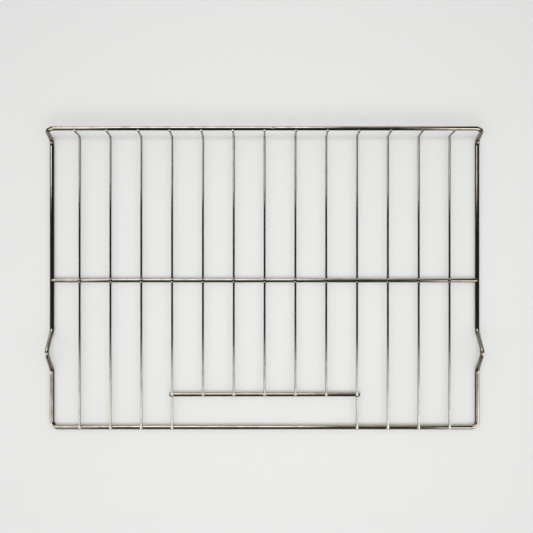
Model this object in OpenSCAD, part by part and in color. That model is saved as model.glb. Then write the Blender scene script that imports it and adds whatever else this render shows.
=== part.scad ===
// Grill rack for a microwave oven: a closed frame of bent wire, two cross bars and a row of grill wires.
// X runs across the rack, Y from the front bar to the raised rear bar, and Z up from the resting plane.
// The origin is at the bottom centre. Every bar and wire is a separate piece, welded where it meets another.

/* [Rack] */
// Width over the side wires
rack_w = 495; // [440:1:560]
// Depth over the front and rear bars
rack_d = 345; // [320:1:400]

/* [Frame wire] */
// Diameter of the frame wire
frame_d = 4.9; // [4.4:0.1:6]
// Radius of the front corners, at the wire's axis
front_corner_r = 7; // [6:0.5:20]
// Radius of the raised rear corners, at the wire's axis
rear_corner_r = 9; // [6:0.5:12]
// Radius where the side wires turn up at the rear
foot_bend_r = 5; // [4:0.5:9]
// Height of the rear bar's axis over the side wires' axis
rear_rise = 22; // [20:0.5:36]
// Slope of the rising ends of the side wires, in degrees
rear_slope = 66; // [60:1:80]
// Length of the butt weld's collar on the rear bar
seam_l = 2.4; // [1:0.1:4]
// How far the butt weld's collar stands out of the wire
seam_proud = 0.2; // [0.1:0.05:0.4]
// Distance of the butt weld from the middle of the rear bar
seam_x = 9; // [-60:1:60]

/* [Side humps] */
// Distance of the humps' middle behind the front bar's axis
hump_back = 88.6; // [70:0.5:110]
// Length of a hump along the side wire
hump_l = 45.6; // [40:0.2:54]
// Slope of a hump's two sides, in degrees
hump_slope = 42; // [35:1:52]
// Radius of the bend at a hump's top
hump_top_r = 6; // [5:0.5:8]
// Radius of the bends at a hump's two feet
hump_foot_r = 7; // [5:0.5:8]

/* [Cross bars] */
// Diameter of the middle bar and of the handle bar
bar_d = 4.5; // [3.8:0.1:4.8]
// Distance of the middle bar behind the front bar's axis
middle_back = 169.3; // [150:0.5:200]
// Distance of the handle bar behind the front bar's axis
handle_back = 37.8; // [30:0.5:50]
// How far the handle bar reaches past the outer wires on it
handle_past = 2.5; // [1:0.1:8]

/* [Grill wires] */
// Diameter of the grill wires
wire_d = 2.3; // [2:0.1:3]
// Distance from one grill wire to the next
wire_pitch = 35.4; // [33:0.1:37]
// Number of wires between each side and the handle gap
side_wires = 4; // [2:1:4]
// Number of wires that end on the handle bar
handle_wires = 5; // [1:2:5]
// How far the grill wires' front ends reach past the axis of the bar under them
wire_front_past = 1.5; // [0:0.1:2]
// How far the welds sink a grill wire into what it crosses
set_down = 0.3; // [0.1:0.05:0.5]
// Slope of the grill wires' rising ends, in degrees
wire_slope = 84; // [74:1:86]
// Radius where the grill wires turn up, at the wire's axis
wire_bend_r = 3.2; // [3:0.1:6]
// How far the grill wires reach past the middle of the rear bar, along their slope
wire_past = 2.2; // [1:0.1:3]

/* [Hidden] */
$fn = 48;
wire_count = 2 * side_wires + handle_wires;

side_x = (rack_w - frame_d) / 2;
bar_y = (rack_d - frame_d) / 2;
frame_z = frame_d / 2;
rear_z = frame_z + rear_rise;
foot_y = bar_y - rear_rise / tan(rear_slope);

hump_y = hump_back - bar_y;
hump_tip_z = frame_z + hump_l / 2 * tan(hump_slope);

middle_y = middle_back - bar_y;
handle_y = handle_back - bar_y;
bar_z = frame_d - bar_d / 2;

wire_z = frame_d + wire_d / 2 - set_down;
lean_gap = (frame_d + wire_d) / 2 - set_down;
lean_y = bar_y - lean_gap * sin(wire_slope);
lean_z = rear_z + lean_gap * cos(wire_slope);
wire_foot_y = lean_y - (lean_z - wire_z) / tan(wire_slope);
wire_end_y = lean_y + wire_past * cos(wire_slope);
wire_end_z = lean_z + wire_past * sin(wire_slope);
front_end_y = -bar_y - wire_front_past;
handle_end_y = handle_y - wire_front_past;

first_handle_wire = side_wires;
last_handle_wire = side_wires + handle_wires - 1;
handle_l = (handle_wires + 1) * wire_pitch + wire_d + 2 * handle_past;

steel = "silver";
plated = "lightgray";

bend_neck = 0.01;
bend_lap = 0.05;

function wire_name(i) = str("grill_wire_", i < 9 ? "0" : "", i + 1);
function wire_x(i) = (i - (wire_count - 1) / 2) * wire_pitch;
function ends_on_handle(i) = i >= first_handle_wire && i <= last_handle_wire;

function unit(v) = v / norm(v);
function turn(a, b, c) = acos(unit(b - a) * unit(c - b));
function setback(a, b, c, r) = r * tan(turn(a, b, c) / 2);

// Puts its children at a point, with their X and Z axes along the given unit vectors.
module place(at, x, z) {
  y = cross(z, x);
  multmatrix([
    [x.x, y.x, z.x, at.x],
    [x.y, y.y, z.y, at.y],
    [x.z, y.z, z.z, at.z]
  ]) children();
}

// The round bend of a wire that comes from a, turns near b and goes on to c. It is a hair thinner
// than the straights, which lap into it, because wire necks where it is bent.
module bend(a, b, c, r, d) {
  way_in = unit(b - a);
  axis = unit(cross(way_in, c - b));
  outward = cross(way_in, axis);
  start = b - way_in * setback(a, b, c, r);
  place(start - outward * r, outward, axis)
    rotate_extrude(angle = turn(a, b, c))
      translate([r, 0]) circle(d = d - 2 * bend_neck);
}

// A straight length of wire, with its X axis to the given side. It can lap over at its two ends.
module straight(from, to, side, d, lap_from = 0, lap_to = 0) {
  way = unit(to - from);
  place(from - way * lap_from, side, way)
    cylinder(d = d, h = norm(to - from) + lap_from + lap_to);
}

// A closed loop of round wire through a list of corners, each with its own bend radius.
module wire_loop(corners, radii, d) {
  n = len(corners);
  for (i = [0:n - 1]) {
    a = corners[(i + n - 1) % n];
    b = corners[i];
    c = corners[(i + 1) % n];
    e = corners[(i + 2) % n];
    way = unit(c - b);
    bend(a, b, c, radii[i], d);
    straight(
      b + way * setback(a, b, c, radii[i]),
      c - way * setback(b, c, e, radii[(i + 1) % n]),
      unit(cross(way, cross(b - a, way))),
      d,
      bend_lap,
      bend_lap
    );
  }
}

// The frame's corners on the right side, from the rear bar down and forward to the front bar.
right_corners = [
  [side_x, bar_y, rear_z],
  [side_x, foot_y, frame_z],
  [side_x, hump_y + hump_l / 2, frame_z],
  [side_x, hump_y, hump_tip_z],
  [side_x, hump_y - hump_l / 2, frame_z],
  [side_x, -bar_y, frame_z]
];
right_radii = [rear_corner_r, foot_bend_r, hump_foot_r, hump_top_r, hump_foot_r, front_corner_r];
last_corner = len(right_corners) - 1;
left_corners = [for (i = [last_corner:-1:0]) [-right_corners[i].x, right_corners[i].y, right_corners[i].z]];
left_radii = [for (i = [last_corner:-1:0]) right_radii[i]];

// The collar left by the butt weld that closes the frame's loop.
module seam_collar() {
  rim_r = frame_d / 2 + seam_proud;
  foot_r = frame_d / 2 - seam_proud;
  rim = seam_l / 4;
  place([seam_x - seam_l / 2, bar_y, rear_z], [0, 1, 0], [1, 0, 0])
    rotate_extrude()
      polygon([[0, 0], [foot_r, 0], [rim_r, rim], [rim_r, seam_l - rim], [foot_r, seam_l], [0, seam_l]]);
}

module frame_wire() {
  color(steel) {
    wire_loop(concat(right_corners, left_corners), concat(right_radii, left_radii), frame_d);
    seam_collar();
  }
}

// The middle bar runs between the side wires, its ends hollowed to sit against them.
module middle_bar() {
  color(steel)
    difference() {
      straight([-side_x, middle_y, bar_z], [side_x, middle_y, bar_z], [0, 1, 0], bar_d);
      for (side = [-1, 1])
        straight(
          [side * side_x, middle_y - bar_d, frame_z],
          [side * side_x, middle_y + bar_d, frame_z],
          [1, 0, 0],
          frame_d
        );
    }
}

module handle_bar() {
  color(steel)
    straight([-handle_l / 2, handle_y, bar_z], [handle_l / 2, handle_y, bar_z], [0, 1, 0], bar_d);
}

// What a grill wire at x is pressed on to: a length of each bar that it crosses.
module bars_under(x) {
  reach = 2 * wire_d;
  bars = [
    [-bar_y, frame_z, frame_d],
    [handle_y, bar_z, bar_d],
    [middle_y, bar_z, bar_d],
    [bar_y, rear_z, frame_d]
  ];
  for (bar = bars)
    straight([x - reach, bar[0], bar[1]], [x + reach, bar[0], bar[1]], [0, 1, 0], bar[2]);
}

// A grill wire lies over the bars, rises at the rear and ends against the front of the rear bar.
module grill_wire(i) {
  x = wire_x(i);
  front = [x, ends_on_handle(i) ? handle_end_y : front_end_y, wire_z];
  foot = [x, wire_foot_y, wire_z];
  end = [x, wire_end_y, wire_end_z];
  run = setback(front, foot, end, wire_bend_r);
  rising = unit(end - foot);
  color(plated)
    difference() {
      union() {
        straight(front, foot - [0, run, 0], [1, 0, 0], wire_d, 0, bend_lap);
        bend(front, foot, end, wire_bend_r, wire_d);
        straight(foot + rising * run, end, [1, 0, 0], wire_d, bend_lap, 0);
      }
      bars_under(x);
    }
}

frame_wire();
middle_bar();
handle_bar();
for (i = [0:wire_count - 1])
  grill_wire(i);
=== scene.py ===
import math
import random

import bpy
from mathutils import Matrix, Vector


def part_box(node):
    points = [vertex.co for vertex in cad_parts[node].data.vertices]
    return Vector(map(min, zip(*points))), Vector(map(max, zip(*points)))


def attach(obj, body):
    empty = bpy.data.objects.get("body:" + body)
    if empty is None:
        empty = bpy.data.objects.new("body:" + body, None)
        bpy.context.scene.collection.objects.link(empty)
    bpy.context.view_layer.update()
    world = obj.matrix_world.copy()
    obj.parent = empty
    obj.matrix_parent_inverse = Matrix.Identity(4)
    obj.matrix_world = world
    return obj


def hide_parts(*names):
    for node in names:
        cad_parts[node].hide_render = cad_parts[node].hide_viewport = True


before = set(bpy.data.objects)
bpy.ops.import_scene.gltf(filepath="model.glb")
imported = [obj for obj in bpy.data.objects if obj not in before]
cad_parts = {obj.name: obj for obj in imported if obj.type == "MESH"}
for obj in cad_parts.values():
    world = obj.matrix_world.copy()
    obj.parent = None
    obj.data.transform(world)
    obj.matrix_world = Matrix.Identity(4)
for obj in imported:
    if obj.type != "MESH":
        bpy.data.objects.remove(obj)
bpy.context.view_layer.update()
print("frame loaded:", len(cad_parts), "nodes")


# Places that all the pieces share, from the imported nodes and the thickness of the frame's wire
frameLow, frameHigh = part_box("frame_wire")
middleLow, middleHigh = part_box("middle_bar")
handleLow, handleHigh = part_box("handle_bar")
grillNames = sorted(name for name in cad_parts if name.startswith("grill_wire"))

barWire = 0.0049  # as in the part's source
crossWire = handleHigh.z - handleLow.z  # thickness of the two cross bars
sideX = frameHigh.x - barWire / 2
frontY = frameLow.y + barWire / 2
rearY = -frontY
barTop = barWire  # the grill wires lie on the bars at this height
middleY = (middleLow.y + middleHigh.y) / 2
middleZ = (middleLow.z + middleHigh.z) / 2
handleY = (handleLow.y + handleHigh.y) / 2
handleZ = (handleLow.z + handleHigh.z) / 2


# Small tools for modelling by hand
guardRing = 0.0003  # how far from a bend, press or cut a straight has its own ring
cutStep = 0.3  # the rounded edge of a cut has one more ring at this share of its depth
fewestSteps = 3  # in any arc
sameSpot = 0.000002  # points closer than this are merged


def letGo():
    if bpy.context.object and bpy.context.object.mode == "EDIT":
        bpy.ops.object.mode_set(mode="OBJECT")
    bpy.ops.object.select_all(action="DESELECT")


def startRing(name, at, along, radius, sides, fill="NOTHING"):
    letGo()
    facing = Vector(along).to_track_quat("Z", "Y").to_euler()
    bpy.ops.mesh.primitive_circle_add(vertices=sides, radius=radius, fill_type=fill,
                                      location=at, rotation=facing)
    piece = bpy.context.object
    piece.name = piece.data.name = name
    bpy.ops.object.transform_apply(location=True, rotation=True, scale=True)
    bpy.ops.object.mode_set(mode="EDIT")
    bpy.ops.mesh.select_all(action="SELECT")
    return piece


def pullOn(move):  # the selected ring or cap goes on in a straight line
    bpy.ops.mesh.extrude_region_move(TRANSFORM_OT_translate={"value": move})


def pullFar(move):  # a long straight, with a ring close to each end that keeps its shading even
    guard = move.normalized() * guardRing
    if move.length > 4 * guardRing:
        pullOn(guard)
        pullOn(move - 2 * guard)
        pullOn(guard)
    else:
        pullOn(move)


def widen(factor, centre):
    bpy.ops.transform.resize(value=factor, center_override=centre)


# The arcs of a bend: a lead, where it has one, makes it begin and end gently
def bendOf(before, corner, after, radius, lead=None):
    wayIn, wayOut = (corner - before).normalized(), (after - corner).normalized()
    turn = wayIn.angle(wayOut)
    axis = wayIn.cross(wayOut).normalized()
    gentle = math.radians(lead["turn"]) if lead else 0
    shares = [(turn - 2 * gentle, radius)]
    if lead:
        shares = [(gentle, lead["radius"])] + shares + [(gentle, lead["radius"])]

    def follow(at, way):
        arcs = []
        for angle, size in shares:
            centre = at + axis.cross(way) * size
            swing = Matrix.Rotation(angle, 3, axis)
            at, way = centre + swing @ (at - centre), swing @ way
            arcs.append({"centre": centre, "axis": axis, "turn": angle})
        return arcs, at

    reach = follow(Vector((0, 0, 0)), wayIn)[1]
    back = reach.length / (2 * math.cos(turn / 2))  # both ends lie this far from the corner
    arcs, end = follow(corner - wayIn * back, wayIn)
    return {"start": corner - wayIn * back, "end": end, "arcs": arcs}


def pullRound(bend, stepsAQuarter):  # the selected ring or cap goes round a bend
    for arc in bend["arcs"]:
        steps = max(fewestSteps, round(stepsAQuarter * arc["turn"] / (math.pi / 2)))
        bpy.ops.mesh.spin(steps=steps, angle=-arc["turn"], center=arc["centre"], axis=arc["axis"])


def startCut(name, at, along, radius, sides, rounding):  # a sawn end with its edge rounded off
    along = Vector(along).normalized()
    piece = startRing(name, at, along, radius - rounding, sides, fill="NGON")
    inner = radius - rounding
    for depth, size in ((cutStep, radius - cutStep * rounding), (1 - cutStep, radius)):
        pullOn(along * depth * rounding)
        widen((size / inner,) * 3, at + along * rounding)
        inner = size
    return piece


def endCut(at, along, radius, rounding):  # at is where the full thickness ends
    along = Vector(along).normalized()
    outer = radius
    for depth, size in ((1 - cutStep, radius - cutStep * rounding), (cutStep, radius - rounding)):
        pullOn(along * depth * rounding)
        widen((size / outer,) * 3, at + along * rounding)
        outer = size


def selectWhere(piece, wanted):  # selects the points that wanted says yes to
    bpy.ops.object.mode_set(mode="EDIT")
    bpy.ops.mesh.select_mode(type="VERT")
    bpy.ops.mesh.select_all(action="DESELECT")
    bpy.ops.object.mode_set(mode="OBJECT")
    for point in piece.data.vertices:
        point.select = wanted(point.co)
    bpy.ops.object.mode_set(mode="EDIT")


def closeUp(piece, smoothAngle=50):  # merges doubles, turns faces outwards and shades the piece
    bpy.ops.object.mode_set(mode="EDIT")
    bpy.ops.mesh.select_all(action="SELECT")
    bpy.ops.mesh.remove_doubles(threshold=sameSpot)
    bpy.ops.mesh.normals_make_consistent(inside=False)
    bpy.ops.object.mode_set(mode="OBJECT")
    bpy.ops.object.shade_smooth_by_angle(angle=math.radians(smoothAngle))
    return piece


def copyOf(piece, name, move):
    twin = piece.copy()
    twin.data = piece.data.copy()
    twin.name = twin.data.name = name
    twin.data.transform(Matrix.Translation(move))
    bpy.context.scene.collection.objects.link(twin)
    return twin


def joinAll(name, pieces):
    letGo()
    for piece in pieces:
        piece.select_set(True)
    bpy.context.view_layer.objects.active = pieces[0]
    bpy.ops.object.join()
    pieces[0].name = pieces[0].data.name = name
    return pieces[0]


# Frame wire: one closed loop, from the butt weld on the rear bar round to the weld again
loop = {
    "sides": 32,
    "stepsAQuarter": 12,
    "rearRise": 0.022,
    "rearSlope": 66,
    "frontCorner": 0.007,
    "rearCorner": 0.009,
    "footBend": 0.007,
    "footLead": {"turn": 9, "radius": 0.022},  # bends in the side wires begin and end gently
    "humpLead": {"turn": 9, "radius": 0.016},
    "humpBack": 0.0886,
    "humpLength": 0.0456,
    "humpSlope": 42,
    "humpTop": 0.006,
    "humpFoot": 0.007,
    "seamX": 0.009,
    "seamLength": 0.0024,
    "seamProud": 0.0002,
    "seamSlope": 0.2,  # share of the weld's length on which its collar rises, and again falls
}
wireZ = barWire / 2
rearZ = wireZ + loop["rearRise"]


def loopCorners():
    footY = rearY - loop["rearRise"] / math.tan(math.radians(loop["rearSlope"]))
    humpY = frontY + loop["humpBack"]
    humpHalf = loop["humpLength"] / 2
    tipZ = wireZ + humpHalf * math.tan(math.radians(loop["humpSlope"]))
    right = [
        (rearY, rearZ, loop["rearCorner"], None),
        (footY, wireZ, loop["footBend"], loop["footLead"]),
        (humpY + humpHalf, wireZ, loop["humpFoot"], loop["humpLead"]),
        (humpY, tipZ, loop["humpTop"], loop["humpLead"]),
        (humpY - humpHalf, wireZ, loop["humpFoot"], loop["humpLead"]),
        (frontY, wireZ, loop["frontCorner"], None),
    ]
    corners = [(Vector((sideX, y, z)), r, lead) for y, z, r, lead in right]
    corners += [(Vector((-sideX, y, z)), r, lead) for y, z, r, lead in reversed(right)]
    return corners


def makeFrameWire():
    radius = barWire / 2
    seamStart = Vector((loop["seamX"] - loop["seamLength"] / 2, rearY, rearZ))
    seamEnd = seamStart + Vector((loop["seamLength"], 0, 0))
    piece = startRing("frameWire", seamEnd, (1, 0, 0), radius, loop["sides"])
    corners = loopCorners()
    at = seamEnd
    for i, (corner, bendRadius, lead) in enumerate(corners):
        before = corners[i - 1][0]
        after = corners[(i + 1) % len(corners)][0]
        bend = bendOf(before, corner, after, bendRadius, lead)
        pullFar(bend["start"] - at)
        pullRound(bend, loop["stepsAQuarter"])
        at = bend["end"]
    pullFar(seamStart - at)
    swell = 1 + loop["seamProud"] / radius
    slope = loop["seamSlope"]
    for share, factor in ((slope, swell), (1 - 2 * slope, 1), (slope, 1 / swell)):  # the weld's low collar
        pullOn((seamEnd - seamStart) * share)
        widen((1, factor, factor), seamStart)
    return closeUp(piece)


frameWire = makeFrameWire()
print("frame wire:", len(frameWire.data.vertices), "points")


# Cross bars: the middle bar ends inside the side wires, the handle bar is sawn at both ends
bars = {
    "sides": 32,
    "rounding": 0.00035,
}


def makeBar(name, leftX, rightX, y, z):
    radius = crossWire / 2
    along = Vector((1, 0, 0))
    start, end = Vector((leftX, y, z)), Vector((rightX, y, z))
    piece = startCut(name, start, along, radius, bars["sides"], bars["rounding"])
    pullFar(end - start - along * 2 * bars["rounding"])
    endCut(end - along * bars["rounding"], along, radius, bars["rounding"])
    return closeUp(piece)


middleBar = makeBar("middleBar", -sideX, sideX, middleY, middleZ)
handleBar = makeBar("handleBar", handleLow.x, handleHigh.x, handleY, handleZ)
print("cross bars")


# Grill wires: a long and a short one are modelled, and each wire is a copy, pressed flat at its own welds
grill = {
    "wire": 0.0023,
    "sides": 24,
    "stepsAQuarter": 10,
    "slope": 84,
    "bend": 0.0022,
    "lead": {"turn": 9, "radius": 0.007},
    "past": 0.0022,  # how far the rising end reaches past the place where it leans on the rear bar
    "setDown": 0.0003,  # how deep the weld lets a wire into the bar
    "rounding": 0.00025,
    "pressLength": 0.0024,
    "pressBlend": 0.0009,
    "pressSlack": 0.0001,  # takes in the rings at the flat's two ends
    "pressFlat": 0.84,
    "pressWide": 1.3,
}
grillZ = barTop + grill["wire"] / 2 - grill["setDown"]


def risingEnd():  # where a wire starts to rise and where it ends, in the plane of the wire
    slope = math.radians(grill["slope"])
    gap = (barWire + grill["wire"]) / 2 - grill["setDown"]
    lean = Vector((0, rearY - gap * math.sin(slope), rearZ + gap * math.cos(slope)))
    rising = Vector((0, math.cos(slope), math.sin(slope)))
    foot = lean - rising * (lean.z - grillZ) / rising.z
    return {"foot": foot, "lean": lean, "rising": rising, "end": lean + rising * grill["past"]}


def makeGrillWire(name, startY, crossings):
    radius = grill["wire"] / 2
    rounding = grill["rounding"]
    rise = risingEnd()
    start = Vector((0, startY, grillZ))
    back = Vector((0, 1, 0))
    piece = startCut(name, start, back, radius, grill["sides"], rounding)
    at = start + back * rounding
    bend = bendOf(start, rise["foot"], rise["end"], grill["bend"], grill["lead"])
    stops = []
    for y in crossings:
        reach = grill["pressLength"] / 2
        stops += [y - reach - grill["pressBlend"], y - reach, y + reach, y + reach + grill["pressBlend"]]
    for y in stops:
        if y > at.y + rounding:
            pullFar(Vector((0, y - at.y, 0)))
            at.y = y
    pullFar(bend["start"] - at)
    pullRound(bend, grill["stepsAQuarter"])
    full = rise["end"] - rise["rising"] * rounding
    pullFar(full - bend["end"])
    endCut(full, rise["rising"], radius, rounding)
    return closeUp(piece)


def pressDown(piece, x, y):  # the flat that the welding jaw leaves on top of a crossing
    reach = grill["pressLength"] / 2 + grill["pressSlack"]
    bottom = grillZ - grill["wire"] / 2
    selectWhere(piece, lambda p: abs(p.y - y) < reach)
    widen((grill["pressWide"], 1, grill["pressFlat"]), (x, y, bottom))
    bpy.ops.object.mode_set(mode="OBJECT")


def makeGrillWires():
    starts = [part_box(name)[0].y for name in grillNames]
    longY, shortY = min(starts), max(starts)
    patterns = {
        "long": makeGrillWire("grillWireLong", longY, [frontY, handleY, middleY]),
        "short": makeGrillWire("grillWireShort", shortY, [handleY, middleY]),
    }
    made = []
    for number, name in enumerate(grillNames, 1):
        low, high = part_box(name)
        x = (low.x + high.x) / 2
        short = low.y > (longY + shortY) / 2
        piece = copyOf(patterns["short" if short else "long"], f"grillWire{number:02d}", Vector((x, 0, 0)))
        letGo()
        piece.select_set(True)
        bpy.context.view_layer.objects.active = piece
        crossings = [middleY]
        if handleLow.x < x < handleHigh.x:
            crossings.append(handleY)
        if not short:
            crossings.append(frontY)
        for y in crossings:
            pressDown(piece, x, y)
        made.append({"piece": piece, "node": name, "x": x, "short": short})
    for pattern in patterns.values():
        bpy.data.objects.remove(pattern)
    return made


grillWires = makeGrillWires()
print("grill wires:", len(grillWires))


# Welds: a smooth nugget squeezed out at every crossing, and a bead round each end of the middle bar
weld = {
    "segments": 20,
    "rings": 12,
    "halfWidth": 0.00175,
    "halfLength": 0.0017,
    "halfHeight": 0.00075,
    "spread": 0.08,  # a nugget's sizes differ by up to this share
    "uneven": 0.00018,
    "grain": 0.0016,
    "rearWidth": 0.00135,
    "rearLength": 0.0011,
    "rearHeight": 0.0008,
    "rearRaise": 0.00145,  # above the place where the wire leans on the rear bar
    "rearBack": 0.0011,  # and behind it
    "bead": 0.00034,
    "beadPoints": 40,
    "beadFineness": 4,
    "beadUneven": 0.00008,
    "seed": 11,
}


def roughen(piece, strength, grain):
    cloud = bpy.data.textures.new(piece.name + "Cloud", "CLOUDS")
    cloud.noise_scale = grain
    bumps = piece.modifiers.new("uneven", "DISPLACE")
    bumps.texture = cloud
    bumps.texture_coords = "LOCAL"
    bumps.strength = strength
    bpy.context.view_layer.objects.active = piece
    bpy.ops.object.modifier_apply(modifier=bumps.name)


def makeNugget(name, at, halves, chance):
    letGo()
    size = [half * (1 + chance.uniform(-weld["spread"], weld["spread"])) for half in halves]
    bpy.ops.mesh.primitive_uv_sphere_add(segments=weld["segments"], ring_count=weld["rings"], radius=1,
                                         location=at, scale=size)
    piece = bpy.context.object
    piece.name = name
    bpy.ops.object.transform_apply(location=True, rotation=True, scale=True)
    roughen(piece, weld["uneven"], weld["grain"])
    bpy.ops.object.shade_smooth()
    return piece


def makeNuggets(name, places, halves):
    chance = random.Random(name + str(weld["seed"]))
    return joinAll(name, [makeNugget(name, at, halves, chance) for at in places])


def makeEndBead(side):  # follows the curve where the middle bar runs into a side wire
    curve = bpy.data.curves.new("endBead", "CURVE")
    curve.dimensions = "3D"
    curve.bevel_depth = weld["bead"]
    curve.bevel_resolution = weld["beadFineness"]
    line = curve.splines.new("POLY")
    line.points.add(weld["beadPoints"] - 1)
    line.use_cyclic_u = True
    for i, point in enumerate(line.points):
        angle = 2 * math.pi * i / weld["beadPoints"]
        y = crossWire / 2 * math.cos(angle)
        z = middleZ + crossWire / 2 * math.sin(angle)
        inward = math.sqrt(max(wireZ ** 2 - (z - wireZ) ** 2, 0))
        point.co = (side * (sideX - inward), middleY + y, z, 1)
    bead = bpy.data.objects.new("endBead", curve)
    bpy.context.scene.collection.objects.link(bead)
    letGo()
    bead.select_set(True)
    bpy.context.view_layer.objects.active = bead
    bpy.ops.object.convert(target="MESH")
    piece = closeUp(bpy.context.object, smoothAngle=180)
    roughen(piece, weld["beadUneven"], weld["grain"])
    return piece


def makeWelds():
    contactZ = barTop - grill["setDown"] / 2
    rise = risingEnd()
    # At the rear the metal is squeezed up between the wire's end and the rear bar
    flash = rise["lean"] + Vector((0, weld["rearBack"], weld["rearRaise"]))
    crossing = (weld["halfWidth"], weld["halfLength"], weld["halfHeight"])
    rear = (weld["rearWidth"], weld["rearLength"], weld["rearHeight"])
    longWires = [w["x"] for w in grillWires if not w["short"]]
    overHandle = [w["x"] for w in grillWires if handleLow.x < w["x"] < handleHigh.x]
    everyWire = [w["x"] for w in grillWires]
    return [
        makeNuggets("frontWelds", [(x, frontY, contactZ) for x in longWires], crossing),
        makeNuggets("handleWelds", [(x, handleY, contactZ) for x in overHandle], crossing),
        makeNuggets("middleWelds", [(x, middleY, contactZ) for x in everyWire], crossing),
        makeNuggets("rearWelds", [(x, flash.y, flash.z) for x in everyWire], rear),
        joinAll("sideWelds", [makeEndBead(-1), makeEndBead(1)]),
    ]


welds = makeWelds()
print("welds:", len(welds), "groups")


# Small tools for materials: each adds a step to a material and gives back what comes out of it
def addMaths(tree, operation, *values):  # values are numbers or what other steps gave
    step = tree.nodes.new("ShaderNodeMath")
    step.operation = operation
    for socket, value in zip(step.inputs, values):
        if isinstance(value, (int, float)):
            socket.default_value = value
        else:
            tree.links.new(value, socket)
    return step.outputs["Value"]


def addVectorMaths(tree, operation, vector):
    step = tree.nodes.new("ShaderNodeVectorMath")
    step.operation = operation
    tree.links.new(vector, step.inputs[0])
    return step.outputs


def addParts(tree, vector):
    step = tree.nodes.new("ShaderNodeSeparateXYZ")
    tree.links.new(vector, step.inputs["Vector"])
    return step.outputs


def addRange(tree, value, start, end, low=0, high=1, kind="LINEAR"):
    step = tree.nodes.new("ShaderNodeMapRange")
    step.interpolation_type = kind
    for socket, number in (("From Min", start), ("From Max", end), ("To Min", low), ("To Max", high)):
        step.inputs[socket].default_value = number
    tree.links.new(value, step.inputs["Value"])
    return step.outputs["Result"]


def addRamp(tree, value, stops):  # a stop is a place from 0 to 1 and the colour there
    step = tree.nodes.new("ShaderNodeValToRGB")
    points = step.color_ramp.elements
    while len(points) < len(stops):
        points.new(1)
    for point, (place, colour) in zip(points, stops):
        point.position = place
        point.color = (*colour, 1)
    tree.links.new(value, step.inputs["Fac"])
    return step.outputs["Color"]


def addMix(tree, share, first, second):
    step = tree.nodes.new("ShaderNodeMix")
    step.data_type = "RGBA"
    tree.links.new(share, step.inputs["Factor"])
    tree.links.new(first, step.inputs["A"])
    tree.links.new(second, step.inputs["B"])
    return step.outputs["Result"]


def addShaderMix(tree, share, first, second):
    step = tree.nodes.new("ShaderNodeMixShader")
    tree.links.new(share, step.inputs["Fac"])
    tree.links.new(first, step.inputs[1])
    tree.links.new(second, step.inputs[2])
    return step.outputs["Shader"]


def addNoise(tree, place, scale, detail):
    step = tree.nodes.new("ShaderNodeTexNoise")
    step.inputs["Scale"].default_value = scale
    step.inputs["Detail"].default_value = detail
    tree.links.new(place, step.inputs["Vector"])
    return step.outputs["Fac"]


def addBump(tree, height, depth):
    step = tree.nodes.new("ShaderNodeBump")
    step.inputs["Distance"].default_value = depth
    tree.links.new(height, step.inputs["Height"])
    return step


# Plating: bright nickel and chrome, a little yellowed, with faint clouds and fine pits, and painted shade
# on the sides
plating = {
    "bright": (0.66, 0.62, 0.555),
    "dull": (0.50, 0.455, 0.39),
    "cloudScale": 90,
    "cloudDetail": 4,
    "cloudFrom": 0.32,  # the plating is dull where the clouds are thinner than this
    "cloudTo": 0.58,  # and bright where they are denser than this
    # How far up a face looks (1 is straight up) where the painted shade of the sides begins, and where it
    # is full; the dark sides are painted shade and painted dark reflection of the shaded floor and the
    # dark room
    "shadeFrom": 0.80,
    "shadeTo": 0.70,
    "rearLessShaded": 0.5,  # faces that look to the rear count as looking up by this much more
    "flankMoreShaded": 0.2,  # and faces that look left or right by this much less
    # The painted shade's colour at some heights in metres: darkest near the floor, and again on the rear
    # bar
    "sides": [(0.006, (0.07, 0.06, 0.047)), (0.010, (0.25, 0.215, 0.165)),
              (0.0205, (0.27, 0.232, 0.178)), (0.0235, (0.05, 0.043, 0.034))],
    "shadeUpTo": 0.030,
    "smooth": 0.05,
    "rough": 0.13,
    "grainScale": 1400,
    "grainDetail": 3,
    "grainFrom": 0.35,  # smoothest where the grain is lower than this
    "grainTo": 0.7,  # and roughest where it is higher than this
    "grainDepth": 0.000005,
    "waveScale": 260,
    "waveDetail": 2,
    "waveDepth": 0.000014,
}
# Thin wires: lighter plating, and no extra painted shade on their left and right flanks
thinPlating = dict(plating, bright=(0.78, 0.745, 0.695), dull=(0.62, 0.575, 0.515), flankMoreShaded=0)
weldPlating = dict(plating, bright=(0.60, 0.56, 0.50), dull=(0.40, 0.36, 0.31), smooth=0.16, rough=0.34)


# Painted shade: a wire's sides are darkened, standing in for its dark reflections of the shaded floor
def platingGrime(tree, place, look):  # 0 on top of a wire and 1 on its sides
    facing = addParts(tree, place["Normal"])
    rearward = addMaths(tree, "MAXIMUM", facing["Y"], 0)
    flank = addMaths(tree, "ABSOLUTE", facing["X"])
    unshaded = addMaths(tree, "MULTIPLY_ADD", rearward, look["rearLessShaded"], facing["Z"])
    unshaded = addMaths(tree, "MULTIPLY_ADD", flank, -look["flankMoreShaded"], unshaded)
    return addRange(tree, unshaded, look["shadeFrom"], look["shadeTo"])


def platingColour(tree, place, look):
    clouds = addNoise(tree, place["Object"], look["cloudScale"], look["cloudDetail"])
    unshaded = addRamp(tree, clouds, [(look["cloudFrom"], look["dull"]), (look["cloudTo"], look["bright"])])
    # The sides get the painted shade's colour for their height
    height = addParts(tree, place["Object"])["Z"]
    stops = [(level / look["shadeUpTo"], colour) for level, colour in look["sides"]]
    shadedColour = addRamp(tree, addRange(tree, height, 0, look["shadeUpTo"]), stops)
    return addMix(tree, platingGrime(tree, place, look), unshaded, shadedColour)


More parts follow.
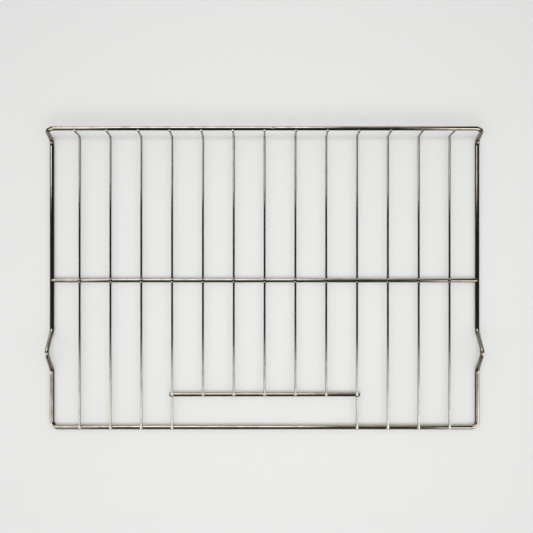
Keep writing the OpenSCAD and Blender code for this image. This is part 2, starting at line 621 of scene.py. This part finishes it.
def makePlating(name, look):
    material = bpy.data.materials.new(name)
    material.use_nodes = True
    tree = material.node_tree
    shader = tree.nodes["Principled BSDF"]
    shader.inputs["Metallic"].default_value = 1
    place = tree.nodes.new("ShaderNodeTexCoord").outputs
    tree.links.new(platingColour(tree, place, look), shader.inputs["Base Color"])

    grain = addNoise(tree, place["Object"], look["grainScale"], look["grainDetail"])
    roughness = addRange(tree, grain, look["grainFrom"], look["grainTo"], look["smooth"], look["rough"])
    tree.links.new(roughness, shader.inputs["Roughness"])

    wave = addNoise(tree, place["Object"], look["waveScale"], look["waveDetail"])
    waves = addBump(tree, wave, look["waveDepth"])
    pits = addBump(tree, grain, look["grainDepth"])
    tree.links.new(waves.outputs["Normal"], pits.inputs["Normal"])
    tree.links.new(pits.outputs["Normal"], shader.inputs["Normal"])
    return material


def finish(piece, material):
    piece.data.materials.clear()
    piece.data.materials.append(material)
    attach(piece, "root")


barPlating = makePlating("barPlating", plating)
wirePlating = makePlating("wirePlating", thinPlating)
jointPlating = makePlating("jointPlating", weldPlating)
for piece, node in ((frameWire, "frame_wire"), (middleBar, "middle_bar"), (handleBar, "handle_bar")):
    finish(piece, barPlating)
    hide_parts(node)
for wire in grillWires:
    finish(wire["piece"], wirePlating)
    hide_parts(wire["node"])
for piece in welds:
    finish(piece, jointPlating)
print("plating")


# Studio: a pale floor under a pale sky, and soft lamps
studio = {
    "floorSize": 24,
    "floorColour": (0.835, 0.835, 0.82),
    "skyColour": (0.985, 0.99, 1.0),
    "skyStrength": 0.45,
    # Far from the rack the camera sees the backdrop's own colour, so no horizon shows
    "backdropColour": (0.80, 0.805, 0.80),
    "backdropFrom": 0.42,
    "backdropTo": 1.3,
    "lamps": [
        {"name": "leftLamp", "place": (-1.0, -0.5, 1.1), "size": 0.9, "power": 2.5},
        {"name": "rightLamp", "place": (1.0, -0.5, 1.1), "size": 0.9, "power": 2.5},
        {"name": "frontLamp", "place": (0, -1.7, 2.4), "size": 1.5, "power": 16.5},
        {"name": "overLamp", "place": (0, 0.015, 0.8), "size": 0.1, "power": 1.1},
        {"name": "rearLamp", "place": (0, 0.53, 1.6), "size": 0.25, "power": 3.6},
    ],
}


def looking(tree):  # 1 for rays that come from the camera, straight or by way of metal or glass
    ray = tree.nodes.new("ShaderNodeLightPath").outputs
    mirrored = addMaths(tree, "MAXIMUM", ray["Is Camera Ray"], ray["Is Glossy Ray"])
    return addMaths(tree, "MAXIMUM", mirrored, ray["Is Transmission Ray"])


def makeFloor():
    letGo()
    bpy.ops.mesh.primitive_plane_add(size=studio["floorSize"])
    floor = bpy.context.object
    floor.name = "floor"
    material = bpy.data.materials.new("floor")
    material.use_nodes = True
    tree = material.node_tree
    shader = tree.nodes["Principled BSDF"]
    shader.inputs["Base Color"].default_value = (*studio["floorColour"], 1)
    shader.inputs["Roughness"].default_value = 1
    shader.inputs["Specular IOR Level"].default_value = 0
    backdrop = tree.nodes.new("ShaderNodeEmission")
    backdrop.inputs["Color"].default_value = (*studio["backdropColour"], 1)
    place = tree.nodes.new("ShaderNodeTexCoord").outputs["Object"]
    away = addVectorMaths(tree, "LENGTH", place)["Value"]
    far = addRange(tree, away, studio["backdropFrom"], studio["backdropTo"], kind="SMOOTHSTEP")
    seen = addMaths(tree, "MULTIPLY", looking(tree), far)
    blend = addShaderMix(tree, seen, shader.outputs["BSDF"], backdrop.outputs["Emission"])
    tree.links.new(blend, tree.nodes["Material Output"].inputs["Surface"])
    floor.data.materials.append(material)


def makeSky():
    world = bpy.data.worlds.new("sky")
    bpy.context.scene.world = world
    world.use_nodes = True
    tree = world.node_tree
    sky = tree.nodes["Background"]
    sky.inputs["Color"].default_value = (*studio["skyColour"], 1)
    sky.inputs["Strength"].default_value = studio["skyStrength"]
    backdrop = tree.nodes.new("ShaderNodeBackground")
    backdrop.inputs["Color"].default_value = (*studio["backdropColour"], 1)
    blend = addShaderMix(tree, looking(tree), sky.outputs["Background"], backdrop.outputs["Background"])
    tree.links.new(blend, tree.nodes["World Output"].inputs["Surface"])


def makeLamp(name, place, size, power):
    lamp = bpy.data.lights.new(name, "AREA")
    lamp.size = size
    lamp.energy = power
    piece = bpy.data.objects.new(name, lamp)
    piece.location = place
    piece.rotation_euler = (-Vector(place)).to_track_quat("-Z", "Y").to_euler()
    piece.visible_camera = piece.visible_glossy = False  # the metal mirrors the tent instead
    bpy.context.scene.collection.objects.link(piece)


# Tent: a ball of light panels round the rack, which only metal mirrors
tent = {
    "radius": 2,
    "segments": 64,
    "rings": 32,
    "glow": (1.0, 0.985, 0.955),
    "gloom": (1.0, 0.86, 0.62),
    "gloomBelow": 0.5,  # a stretch dimmer than this turns towards the gloom's colour
    # From left (-1) to right (1), the stretch over which a panel takes over from the one before it,
    # and how bright it is at places from the front horizon (-1) over the top (0) to the rear one (1)
    "panels": [
        {"over": None,
         "bright": [(-0.55, 0.1), (-0.36, 1.2), (-0.26, 1.2), (-0.14, 0.05), (0.12, 0.03), (1, 0.05)]},
        {"over": (-0.93, -0.85),
         "bright": [(-0.93, 0.25), (-0.75, 0.06), (-0.6, 1.9), (-0.42, 2.2), (-0.3, 1.9), (-0.19, 1.1),
                    (-0.14, 0.05), (0.15, 0.02), (0.18, 0.3), (0.27, 0.3), (0.32, 0.03), (0.9, 0.03),
                    (0.95, 0.2)]},
        {"over": (-0.76, -0.68),
         "bright": [(-0.93, 0.25), (-0.8, 0.06), (-0.7, 2.0), (-0.42, 2.2), (-0.3, 1.9), (-0.19, 1.0),
                    (-0.14, 0.05), (0.13, 0.03), (0.16, 2.3), (0.27, 2.3), (0.32, 0.03), (0.9, 0.03),
                    (0.95, 0.2)]},
        {"over": (-0.55, -0.48),
         "bright": [(-0.93, 0.25), (-0.7, 0.05), (-0.5, 0.8), (-0.32, 1.3), (-0.2, 0.9), (-0.15, 0.04),
                    (0.13, 0.02), (0.16, 2.2), (0.28, 1.9), (0.34, 1.4), (0.8, 1.3), (0.93, 0.27)]},
        {"over": (-0.36, -0.3),
         "bright": [(-0.29, 0.02), (0.27, 0.02), (0.34, 1.8), (0.82, 1.9), (0.94, 0.3)]},
        {"over": (0.07, 0.155),
         "bright": [(-0.29, 0.02), (0.24, 0.02), (0.3, 0.3), (0.85, 0.3), (0.95, 0.2)]},
        {"over": (0.28, 0.38),
         "bright": [(-0.93, 0.3), (-0.8, 0.1), (-0.7, 2.0), (-0.42, 2.3), (-0.3, 2.0), (-0.19, 1.1),
                    (-0.14, 0.02), (0.85, 0.03), (0.95, 0.27)]},
        {"over": (0.8, 0.88),
         "bright": [(-0.9, 0.3), (-0.5, 1.2), (-0.26, 1.8), (-0.15, 0.05), (0.1, 0.02), (1, 0.02)]},
    ],
}


def panelStop(y, bright):  # a dim stretch of a panel is warmer than a bright one
    share = min(bright / tent["gloomBelow"], 1)
    return (y + 1) / 2, Vector(tent["gloom"]).lerp(Vector(tent["glow"]), share) * bright


def makeTent():
    letGo()
    bpy.ops.mesh.primitive_uv_sphere_add(segments=tent["segments"], ring_count=tent["rings"],
                                         radius=tent["radius"])
    piece = bpy.context.object
    piece.name = "tent"
    piece.visible_camera = piece.visible_diffuse = piece.visible_shadow = False
    material = bpy.data.materials.new("tent")
    material.use_nodes = True
    tree = material.node_tree
    tree.nodes.clear()
    place = tree.nodes.new("ShaderNodeTexCoord").outputs["Object"]
    way = addParts(tree, addVectorMaths(tree, "NORMALIZE", place)["Vector"])
    frontToRear = addRange(tree, way["Y"], -1, 1)
    colour = None
    for panel in tent["panels"]:
        glow = addRamp(tree, frontToRear, [panelStop(y, bright) for y, bright in panel["bright"]])
        if panel["over"]:
            share = addRange(tree, way["X"], *panel["over"], kind="SMOOTHSTEP")
            glow = addMix(tree, share, colour, glow)
        colour = glow
    emission = tree.nodes.new("ShaderNodeEmission")
    tree.links.new(colour, emission.inputs["Color"])
    output = tree.nodes.new("ShaderNodeOutputMaterial")
    tree.links.new(emission.outputs["Emission"], output.inputs["Surface"])
    piece.data.materials.append(material)


makeFloor()
makeSky()
makeTent()
for lamp in studio["lamps"]:
    makeLamp(**lamp)
print("studio:", len(studio["lamps"]), "lamps and", len(tent["panels"]), "panels")


# Camera: straight above, a little right of and behind the rack's middle
view = {
    "place": (0.0022, 0.0152, 0.780),
    "lens": 45.55,
    "sensor": 36,
}


def makeCamera():
    camera = bpy.data.cameras.new("camera")
    camera.lens = view["lens"]
    camera.sensor_width = view["sensor"]
    piece = bpy.data.objects.new("camera", camera)
    piece.location = view["place"]
    bpy.context.scene.collection.objects.link(piece)
    bpy.context.scene.camera = piece
    bpy.context.scene.view_settings.view_transform = "Standard"


makeCamera()
print("camera")
